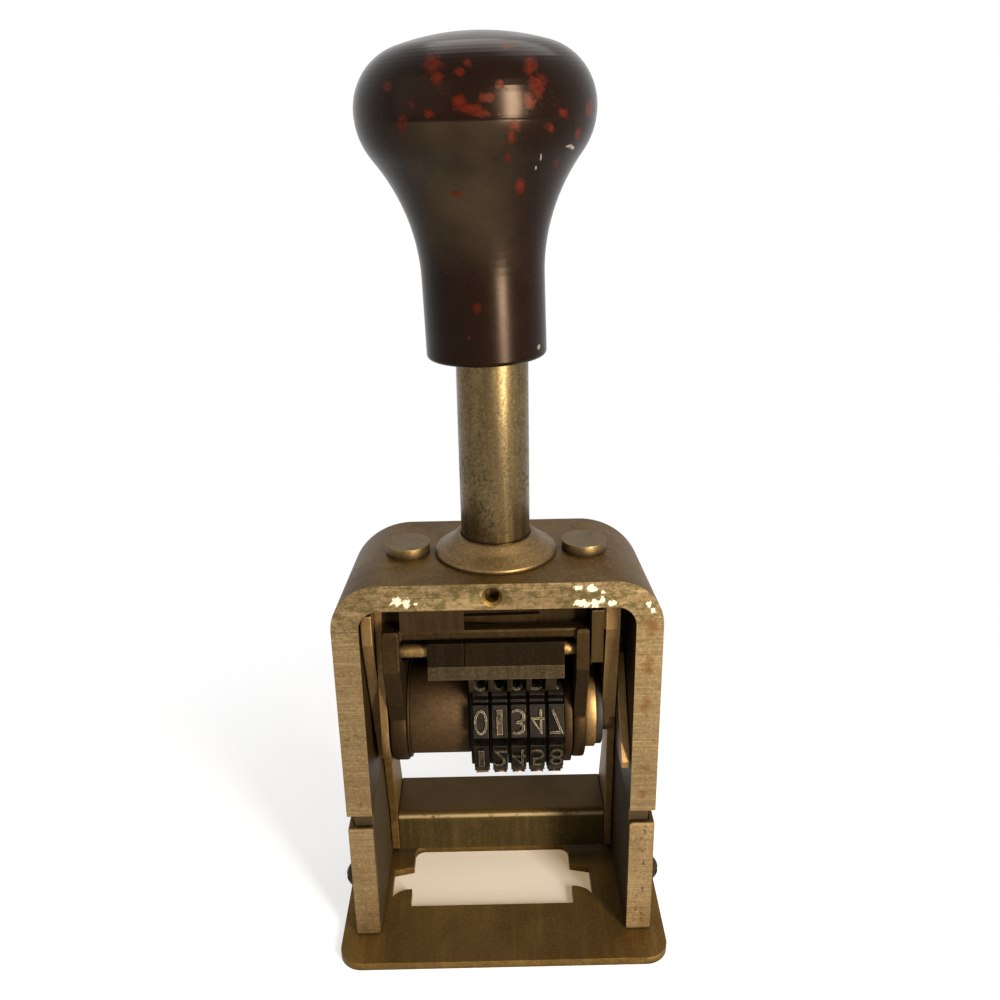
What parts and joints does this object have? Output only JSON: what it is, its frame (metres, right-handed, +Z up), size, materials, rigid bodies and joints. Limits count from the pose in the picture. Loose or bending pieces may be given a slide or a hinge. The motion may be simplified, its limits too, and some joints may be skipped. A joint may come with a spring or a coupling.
{
  "type": "numbering machine",
  "caption": "Hand numbering machine: knob on a sprung stem that drives a carriage of type wheels down through an arched frame onto paper.",
  "frame": {"origin": "centre of the base plate's underside, in line with the stem", "axes": "+X to the machine's right, +Y to its back, +Z up along the stem"},
  "size_m": [0.0636, 0.044, 0.1644],
  "materials": {
    "nickel_arch": "tarnished nickel plate, brushed face, warm tan patina",
    "nickel_base": "tarnished nickel plate, dull brown patina",
    "nickel_stem": "worn nickel plate with dark pitting",
    "dark_steel": "dark, ink-stained steel",
    "worn_steel": "oiled steel, brown patina",
    "drum_brown": "brown, stained steel drum",
    "type_metal": "ink-stained type wheels with worn bright edges",
    "knob_lacquer": "glossy dark lacquer worn through to red",
    "fibre": "fibre washer",
    "spring_steel": "spring steel"
  },
  "bodies": {
    "frame": {"base_plate": "nickel_base", "left_foot": "nickel_arch", "right_foot": "nickel_arch", "base_screws": "dark_steel", "side_screws": "dark_steel", "arch_top": "nickel_arch", "left_leg": "nickel_arch", "right_leg": "nickel_arch", "collar": "nickel_base", "bumper_washer": "fibre", "left_top_screw": "worn_steel", "right_top_screw": "worn_steel", "stop_lug": "worn_steel", "left_bracket": "worn_steel", "key_screw": "worn_steel", "spring_seat": "worn_steel", "return_spring": "spring_steel", "carrier_pivots": "worn_steel"},
    "plunger": {"knob": "knob_lacquer", "stem_tube": "nickel_stem", "stem_plug": "worn_steel", "stem_pin": "worn_steel", "carriage_head": "worn_steel", "left_arm": "worn_steel", "cam_rib": "worn_steel", "right_arm": "worn_steel", "back_plate": "dark_steel", "arm_screws": "worn_steel", "wheel_axle": "worn_steel", "spacer_drum": "drum_brown", "left_washer": "worn_steel", "right_washer": "dark_steel", "side_disc": "dark_steel", "detent_rod": "worn_steel", "leaf_spring": "spring_steel"},
    "bail": {"feed_bail": "worn_steel", "bail_crank": "worn_steel", "pawl_rod": "worn_steel"},
    "pawl": {"rod_sleeve": "dark_steel", "pawl_block": "dark_steel", "pawl_comb": "dark_steel"},
    "detent": {"detent_comb": "dark_steel"},
    "pad_carrier": {"pad_tray": "nickel_base", "left_carrier_arm": "nickel_base", "right_carrier_arm": "nickel_base"},
    "wheel_1": {"type_wheel_1": "type_metal"},
    "wheel_2": {"type_wheel_2": "type_metal"},
    "wheel_3": {"type_wheel_3": "type_metal"},
    "wheel_4": {"type_wheel_4": "type_metal"},
    "wheel_5": {"type_wheel_5": "type_metal"}
  },
  "joints": [
    {"name": "plunger_slide", "type": "slide", "parent": "frame", "child": "plunger", "axis": [0, 0, -1], "range_m": [0, 0.0315], "stiffness_N_per_m": 200, "springref_m": -0.03, "deforming": ["return_spring"]},
    {"name": "bail_swing", "type": "hinge", "parent": "plunger", "child": "bail", "pos_m": [0, 0, 0.0445], "axis": [1, 0, 0], "range_deg": [0, 36.1]},
    {"name": "pawl_tilt", "type": "hinge", "parent": "bail", "child": "pawl", "pos_m": [0, -0.0117, 0.0635], "axis": [-1, 0, 0], "range_deg": [0, 8], "stiffness_Nm_per_rad": 0.02, "springref_deg": -8.59},
    {"name": "detent_lift", "type": "hinge", "parent": "plunger", "child": "detent", "pos_m": [0, 0.011, 0.0585], "axis": [1, 0, 0], "range_deg": [0, 8], "stiffness_Nm_per_rad": 0.02, "springref_deg": -8.59},
    {"name": "carrier_swing", "type": "hinge", "parent": "frame", "child": "pad_carrier", "pos_m": [0, 0.0115, 0.058], "axis": [1, 0, 0], "range_deg": [0, 12.1]},
    {"name": "wheel_1_turn", "type": "hinge", "parent": "plunger", "child": "wheel_1", "pos_m": [0, 0, 0.0445], "axis": [1, 0, 0], "continuous": true},
    {"name": "wheel_2_turn", "type": "hinge", "parent": "plunger", "child": "wheel_2", "pos_m": [0, 0, 0.0445], "axis": [1, 0, 0], "continuous": true},
    {"name": "wheel_3_turn", "type": "hinge", "parent": "plunger", "child": "wheel_3", "pos_m": [0, 0, 0.0445], "axis": [1, 0, 0], "continuous": true},
    {"name": "wheel_4_turn", "type": "hinge", "parent": "plunger", "child": "wheel_4", "pos_m": [0, 0, 0.0445], "axis": [1, 0, 0], "continuous": true},
    {"name": "wheel_5_turn", "type": "hinge", "parent": "plunger", "child": "wheel_5", "pos_m": [0, 0, 0.0445], "axis": [1, 0, 0], "continuous": true}
  ],
  "couplings": [
    {"joint": "bail_swing", "follows": "plunger_slide", "rad_per_m": 19.947},
    {"joint": "carrier_swing", "follows": "plunger_slide", "rad_per_m": 6.6489}
  ]
}
